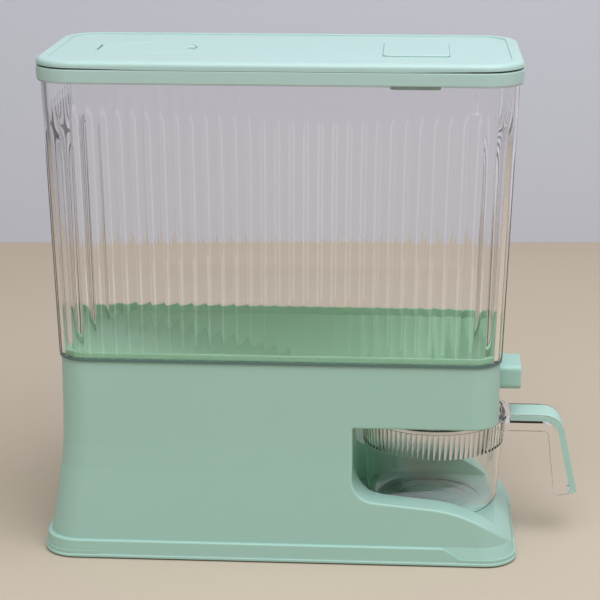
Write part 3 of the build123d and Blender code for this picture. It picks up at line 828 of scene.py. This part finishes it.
@dataclass(frozen=True)
class Bucket:
    """Clear grain bucket with upright flutes that fade out under a plain band.

    The flutes of the corners are shallower, by corner_share, and fade out over a longer height. The
    outlines are those of the outside, and all sizes are in metres.
    """

    foot: Outline = Outline(0.3155, 0.1355, 0.022)
    top: Outline = Outline(0.3277, 0.1395, 0.024)
    flange: Outline = Outline(0.3314, 0.146, 0.026)
    height: float = 0.1963
    flange_height: float = 0.0008
    wall: float = 0.003
    flute: float = 0.0009
    fade: float = 0.016
    corner_fade: float = 0.045
    corner_share: float = 0.85
    band: float = 0.014
    edge: float = 0.0005
    flange_edge: float = 0.0002
    long_flutes: int = 28
    short_flutes: int = 9
    corner_flutes: int = 4
    flute_steps: int = 12
    fade_levels: int = 30
    corner_steps: int = 4

    def ring(self, middle: float, level: Level) -> Ring:
        """Gives one ring of the wall.

        Args:
            middle: X of the bucket's axis.
            level: Height, outline and flutes of the ring.

        Returns:
            Points of the ring.
        """
        steps = self.flute_steps
        counts = [flutes * steps for flutes in (self.long_flutes, self.short_flutes, self.corner_flutes)]
        points = []
        for index, (x, y, out_x, out_y) in enumerate(level.outline.stations(*counts)):
            on_corner = out_x != 0.0 and out_y != 0.0
            depth = level.corner_flutes if on_corner else level.flutes
            sink = self.flute * depth * (1.0 - bulge(index, steps))
            points.append(Vector((middle + x - out_x * sink, y - out_y * sink, level.height)))
        return points

    def section(self, foot_z: float, rim_z: float) -> list[Level]:
        """Gives the wall's section, up outside, over the rim and down inside.

        Args:
            foot_z: Height of the foot.
            rim_z: Height of the rim.

        Returns:
            The levels of the section, in order.
        """
        collar_z = foot_z + self.height
        flange_z = collar_z - self.flange_height
        fade_top = collar_z - self.band

        def at(z: float, margin: float = 0.0) -> Outline:
            """Gives the plain outline at a height, grown by a margin."""
            return self.foot.toward(self.top, (z - foot_z) / self.height).grown(margin)

        levels = [Level(foot_z, at(foot_z), 1.0, self.edge, self.corner_share)]
        for i in range(self.fade_levels, -1, -1):
            drop = self.corner_fade * i / self.fade_levels
            z = fade_top - drop
            corner = self.corner_share * ease(drop / self.corner_fade)
            levels.append(Level(z, at(z), ease(drop / self.fade), 0.0, corner))
        levels += [
            Level(flange_z, at(flange_z), 0.0, self.flange_edge),
            Level(flange_z, self.flange, 0.0, self.flange_edge),
            Level(collar_z, self.flange, 0.0, self.flange_edge),
            Level(collar_z, at(collar_z), 0.0, self.flange_edge),
            Level(rim_z, at(rim_z), 0.0, self.edge),
            Level(rim_z, at(rim_z, -self.wall), 0.0, self.edge),
            Level(foot_z, at(foot_z, -self.wall), 0.0, self.edge),
        ]
        return rounded_section(levels, self.corner_steps)

    def build(self) -> bpy.types.Object:
        """Builds the bucket in the place of its node.

        Returns:
            The bucket.
        """
        low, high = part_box("bucket")
        middle = (low.x + high.x) / 2
        rings = [self.ring(middle, level) for level in self.section(low.z, high.z)]
        made = loop_mesh("bucket_clear", rings, Shading.SOFT)
        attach(made, "base")
        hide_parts("bucket")
        return made

    def dress(self, made: bpy.types.Object, materials: Materials) -> None:
        """Gives the bucket its clear finish."""
        give_finish(made, "clear_bucket", materials)


# Copies of nodes


@dataclass(frozen=True)
class CloseSeam:
    """Brings the middle of the cover's lower edge down to the collar and leaves its ends open."""

    seam: float = 0.35422
    reach: float = 0.0008
    middle: float = -0.0227
    half_length: float = 0.135
    half_depth: float = 0.072
    gap: float = 0.00005

    def __call__(self, point: Vector) -> Vector:
        """Moves one point.

        Args:
            point: Point of the cover.

        Returns:
            Its new place.
        """
        low = self.seam < point.z < self.seam + self.reach
        if low and abs(point.x - self.middle) < self.half_length and abs(point.y) > self.half_depth:
            return Vector((point.x, point.y, self.seam + self.gap))
        return point


@dataclass(frozen=True)
class FillWell:
    """Widens the tab so that only its front edge leaves a clear gap in the cover."""

    middle: float = 0.0706
    growth: float = 1.009

    def __call__(self, point: Vector) -> Vector:
        """Moves one point of the tab away from its middle."""
        return Vector((self.middle + (point.x - self.middle) * self.growth, point.y, point.z))


@dataclass(frozen=True)
class DeepenBox:
    """Lowers the foot of the freshness box until it shows below the collar."""

    top: float = 0.345
    drop: Point = (0.0, 0.0, 0.004)

    def __call__(self, point: Vector) -> Vector:
        """Moves one point of the box where it lies in the foot."""
        return point - Vector(self.drop) if point.z < self.top else point


NOWHERE: Point = (0.0, 0.0, 0.0)


@dataclass(frozen=True)
class RoundedCopy:
    """Copy of a node with rounded outer edges, to catch the light, or a small adjustment.

    The edges to round lie in a box from low to high and turn by more than crisp degrees. Faces there
    that turn by less than flat degrees are joined first. The points are then adjusted one by one.
    """

    node: str
    body: str
    slot: str
    width: float = 0.0
    low: Point = NOWHERE
    high: Point = NOWHERE
    adjust: Callable[[Vector], Vector] = Vector
    steps: int = 3
    profile: float = 0.5
    crisp: float = 35.0
    flat: float = 0.5
    weld: float = 1e-6

    def inside(self, edge: bmesh.types.BMEdge) -> bool:
        """Tells whether both ends of an edge lie in the box of edges to round.

        Args:
            edge: Edge to test.

        Returns:
            True where they do.
        """
        for vertex in edge.verts:
            if not all(low <= value <= high for low, value, high in zip(self.low, vertex.co, self.high)):
                return False
        return True

    def round_over(self, work: bmesh.types.BMesh) -> int:
        """Joins flat faces in the box and rounds its crisp outer edges.

        Args:
            work: Mesh to round.

        Returns:
            How many edges were rounded.
        """
        near = [edge for edge in work.edges if self.inside(edge)]
        ends = list(dict.fromkeys(vertex for edge in near for vertex in edge.verts))
        bmesh.ops.dissolve_limit(work, angle_limit=math.radians(self.flat), verts=ends, edges=near)
        least = math.radians(self.crisp)
        outer = [edge for edge in work.edges if edge.is_convex and edge.calc_face_angle(0.0) > least]
        chosen = [edge for edge in outer if self.inside(edge)]
        if chosen:
            bmesh.ops.bevel(
                work,
                geom=chosen,
                offset=self.width,
                offset_type="OFFSET",
                segments=self.steps,
                profile=self.profile,
                affect="EDGES",
            )
        return len(chosen)

    def build(self) -> bpy.types.Object:
        """Builds the copy in the place of its node.

        Returns:
            The copy.
        """
        work = bmesh.new()
        source = frame["nodes"][self.node].data
        work.from_mesh(source)
        bmesh.ops.remove_doubles(work, verts=work.verts, dist=self.weld)
        rounded = self.round_over(work)
        mesh = bpy.data.meshes.new(self.node + "_rounded")
        work.to_mesh(mesh)
        work.free()
        made = new_object(self.node + "_rounded", mesh, Shading.MOULDED)
        settle_normals(mesh, source)
        for vertex in mesh.vertices:
            vertex.co = self.adjust(vertex.co)
        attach(made, self.body)
        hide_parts(self.node)
        LOG.info("%s has %d rounded edges", made.name, rounded)
        return made

    def dress(self, made: bpy.types.Object, materials: Materials) -> None:
        """Gives the copy its node's finish."""
        give_finish(made, self.slot, materials)


COPIES = (
    RoundedCopy(
        "flip_cap",
        "cap",
        "mint_lid",
        width=0.0010,
        low=(-0.16, -0.05, 0.3591),
        high=(-0.05, 0.05, 0.3593),
    ),
    RoundedCopy(
        "lid_cover",
        "lid",
        "mint_lid",
        width=0.0006,
        low=(-0.16, -0.04, 0.3591),
        high=(0.1, 0.04, 0.3593),
        adjust=CloseSeam(),
    ),
    RoundedCopy(
        "lid_frame",
        "base",
        "mint_lid",
        width=0.0009,
        low=(-0.2, -0.08, 0.3541),
        high=(0.2, 0.08, 0.3543),
    ),
    RoundedCopy("freshness_cover", "freshness", "mint_lid", adjust=FillWell()),
    RoundedCopy("freshness_box", "freshness", "mint_lid", adjust=DeepenBox()),
    RoundedCopy(
        "measuring_cup",
        "cup",
        "clear_cup",
        width=0.0005,
        low=(0.150, -0.05, 0.02),
        high=(0.2, 0.05, 0.1),
    ),
)


@dataclass(frozen=True)
class ReturnSpring:
    """Copy of a return spring."""

    node: str
    body: str = "base"
    slot: str = "spring_steel"
    joint: str = "button_press"
    travel: float = 0.011

    def build(self) -> bpy.types.Object:
        """Builds the spring in the place of its node.

        Returns:
            The spring.
        """
        made = new_object(self.node + "_coil", frame["nodes"][self.node].data.copy(), Shading.SOFT)
        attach(made, self.body)
        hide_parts(self.node)
        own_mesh(made)
        return made

    def dress(self, made: bpy.types.Object, materials: Materials) -> None:
        """Gives the spring its steel."""
        give_finish(made, self.slot, materials)


SPRINGS = (ReturnSpring("return_spring_front"), ReturnSpring("return_spring_back"))


# Studio


class Seen(Enum):
    """Where a lamp shows: everywhere, in reflections alone or in the light it gives alone."""

    EVERYWHERE = "everywhere"
    REFLECTED = "reflected"
    AS_LIGHT = "as_light"


@dataclass(frozen=True)
class Lamp:
    """Soft rectangular light, white and seen in reflections alone unless its row says otherwise."""

    name: str
    place: Point
    aim: Point
    size: tuple[float, float]
    power: float
    colour: Colour = WHITE
    seen: Seen = Seen.REFLECTED

    def hang(self) -> None:
        """Hangs the lamp in the scene, out of the camera's sight."""
        data = bpy.data.lights.new(self.name, "AREA")
        data.shape = "RECTANGLE"
        data.size, data.size_y = self.size
        data.energy = self.power
        data.color = self.colour
        made = bpy.data.objects.new(self.name, data)
        made.location = self.place
        made.rotation_euler = (Vector(self.aim) - Vector(self.place)).to_track_quat("-Z", "Y").to_euler()
        made.visible_camera = False
        made.visible_transmission = False
        made.visible_diffuse = self.seen is not Seen.REFLECTED
        made.visible_glossy = self.seen is not Seen.AS_LIGHT
        bpy.context.scene.collection.objects.link(made)


LAMPS = (
    Lamp(
        "ceiling",
        place=(0.38, -0.7, 1.9),
        aim=(0.0, 0.0, 0.2),
        size=(2.0, 1.4),
        power=40.0,
        colour=(0.95, 0.99, 1.12),
        seen=Seen.EVERYWHERE,
    ),
    Lamp(
        "front_fill",
        place=(-0.9, -1.9, 1.2),
        aim=(0.0, 0.0, 0.15),
        size=(1.2, 1.2),
        power=1.5,
        colour=(1.0, 0.99, 0.97),
        seen=Seen.EVERYWHERE,
    ),
    Lamp(
        "bar_left",
        place=(-0.32, -0.6, 0.107),
        aim=(-0.1, -0.07, 0.15),
        size=(0.1, 0.2),
        power=0.085,
    ),
    Lamp(
        "bar_right",
        place=(0.265, -0.6, 0.107),
        aim=(0.1, -0.07, 0.15),
        size=(0.1, 0.2),
        power=0.095,
    ),
    Lamp(
        "bar_low_left",
        place=(-0.235, -0.3, 0.105),
        aim=(-0.1, -0.07, 0.1),
        size=(0.05, 0.08),
        power=0.02,
    ),
    Lamp(
        "bar_low_right",
        place=(0.21, -0.3, 0.105),
        aim=(0.1, -0.07, 0.1),
        size=(0.05, 0.08),
        power=0.02,
    ),
    Lamp(
        "bay_glow",
        place=(0.0877, 0.0, 0.0955),
        aim=(0.08, 0.0, 0.0),
        size=(0.06, 0.06),
        power=0.016,
        colour=(0.3, 1.0, 0.45),
        seen=Seen.AS_LIGHT,
    ),
)


@dataclass(frozen=True)
class Studio:
    """Pale floor and wall, soft light and the camera.

    The camera's turn and tilt are in degrees, its lens and sensor in millimetres. The wall's painted
    light gives places along it, in metres from its middle, and how bright its colour is painted there,
    as painted light and shade.
    """

    eye: Point = (0.0695, -1.2847, 0.5429)
    turn: float = 3.59
    tilt: float = 15.94
    lens: float = 109.92
    sensor: float = 36.0
    clip_start: float = 0.05
    floor_colour: Colour = (0.54, 0.455, 0.345)
    floor_shade_share: float = 0.96
    floor_drift: float = 1.5
    floor_reach: float = 4.0
    wall_colour: Colour = (0.585, 0.595, 0.635)
    wall_distance: float = 0.87
    wall_width: float = 6.0
    wall_height: float = 2.6
    wall_painted_light: tuple[tuple[float, float], ...] = (
        (-1.3, 0.5),
        (-0.46, 1.0),
        (0.33, 1.0),
        (0.45, 1.35),
        (0.75, 1.35),
        (1.5, 0.6),
    )
    roughness: float = 0.8
    sky_colour: Colour = (0.78, 0.78, 0.79)
    sky_strength: float = 0.6

    def camera(self) -> None:
        """Sets the camera at the viewing angle."""
        data = bpy.data.cameras.new("camera")
        data.lens = self.lens
        data.sensor_width = self.sensor
        data.clip_start = self.clip_start
        made = bpy.data.objects.new("camera", data)
        turn, tilt = math.radians(self.turn), math.radians(self.tilt)
        level = math.cos(tilt)
        ahead = Vector((-math.sin(turn) * level, math.cos(turn) * level, -math.sin(tilt)))
        made.location = self.eye
        made.rotation_euler = ahead.to_track_quat("-Z", "Y").to_euler()
        bpy.context.scene.collection.objects.link(made)
        bpy.context.scene.camera = made

    def matte(self, name: str) -> Paint:
        """Starts a plain matte finish of the stage.

        Args:
            name: Name of the finish.

        Returns:
            The finish, with no colour of its own yet.
        """
        paint = Paint(name)
        paint.set(Roughness=self.roughness, Specular_IOR_Level=0.0)
        return paint

    def floor(self) -> None:
        """Lays the plain pale floor, with a slight drift in its shade."""
        half = self.floor_reach
        square = ((-half, -half), (half, -half), (half, half), (-half, half))
        made = plate("floor", [Vector((x, y, 0.0)) for x, y in square])
        paint = self.matte("pale_floor")
        shade = tuple(self.floor_shade_share * value for value in self.floor_colour)
        paint.tint(self.floor_colour, shade, self.floor_drift)
        made.data.materials.append(paint.material)

    def wall_paint(self) -> Paint:
        """Builds the wall's finish, painted lighter and darker along its length as painted light and
        shade, and open from its back.

        Returns:
            The finish.
        """
        paint = self.matte("pale_wall")
        tree = paint.tree
        place = tree.add("ShaderNodeSeparateXYZ")
        tree.link(tree.add("ShaderNodeTexCoord").outputs["Object"], place.inputs["Vector"])
        # Painted light and shade: the wall's colour is made lighter and darker along its length.
        ramp = tree.add("ShaderNodeValToRGB")
        stops = ramp.color_ramp.elements
        stops.remove(stops[1])
        middle = 0.5
        for index, (x, value) in enumerate(self.wall_painted_light):
            position = middle + x / self.wall_width
            stop = stops.new(position) if index else stops[0]
            stop.position = position
            stop.color = opaque(tuple(value * part for part in self.wall_colour))
        across = tree.math("MULTIPLY_ADD", place.outputs["X"], 1.0 / self.wall_width, middle)
        tree.link(across, ramp.inputs["Fac"])
        tree.link(ramp.outputs["Color"], paint.shader.inputs["Base Color"])
        paint.clear_where(tree.add("ShaderNodeNewGeometry").outputs["Backfacing"], WHITE)
        return paint

    def wall(self) -> None:
        """Stands a wall behind the bin, square to the camera, with painted light and shade along it."""
        turn = math.radians(self.turn)
        foot = Vector((-math.sin(turn), math.cos(turn), 0.0)) * self.wall_distance
        side = Vector((math.cos(turn), math.sin(turn), 0.0)) * self.wall_width / 2
        rise = Vector((0.0, 0.0, self.wall_height))
        made = plate("backdrop", [foot - side, foot + side, foot + side + rise, foot - side + rise])
        made.data.materials.append(self.wall_paint().material)

    def sky(self) -> None:
        """Fills the room with soft light."""
        world = bpy.data.worlds.new("room")
        bpy.context.scene.world = world
        world.use_nodes = True
        back = world.node_tree.nodes["Background"]
        back.inputs["Color"].default_value = opaque(self.sky_colour)
        back.inputs["Strength"].default_value = self.sky_strength

    def build(self) -> None:
        """Builds the studio."""
        self.camera()
        self.floor()
        self.wall()
        self.sky()
        for lamp in LAMPS:
            lamp.hang()
        bpy.context.scene.view_settings.view_transform = "Standard"


# Nodes that keep their own shape, or whose copies take over their normals

SHADING: dict[str, Shading] = {"base_shell": Shading.MOULDED, "measuring_cup": Shading.MOULDED}


def dress_nodes(materials: Materials) -> None:
    """Gives every node of the part its finish and its shading.

    Args:
        materials: Built finishes by name.
    """
    slots = {row["node"]: row["material_slot"] for row in frame["record"]["subparts"]}
    for name, node in frame["nodes"].items():
        give_finish(node, slots[name], materials)
        soften(node.data, SHADING.get(name, Shading.TURNED))
        LOG.info("node %s dressed in %s", name, slots[name])


def main() -> None:
    """Builds the finishes, the pieces and the studio in order."""
    logging.basicConfig(level=logging.INFO, format="%(name)s: %(message)s")
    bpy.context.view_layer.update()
    materials = {finish.name: finish.material() for finish in FINISHES}
    dress_nodes(materials)
    for part in (Bucket(), *COPIES, *SPRINGS):
        made = part.build()
        part.dress(made, materials)
        LOG.info("piece %s built with %d faces", made.name, len(made.data.polygons))
    Studio().build()


if __name__ == "__main__":
    main()
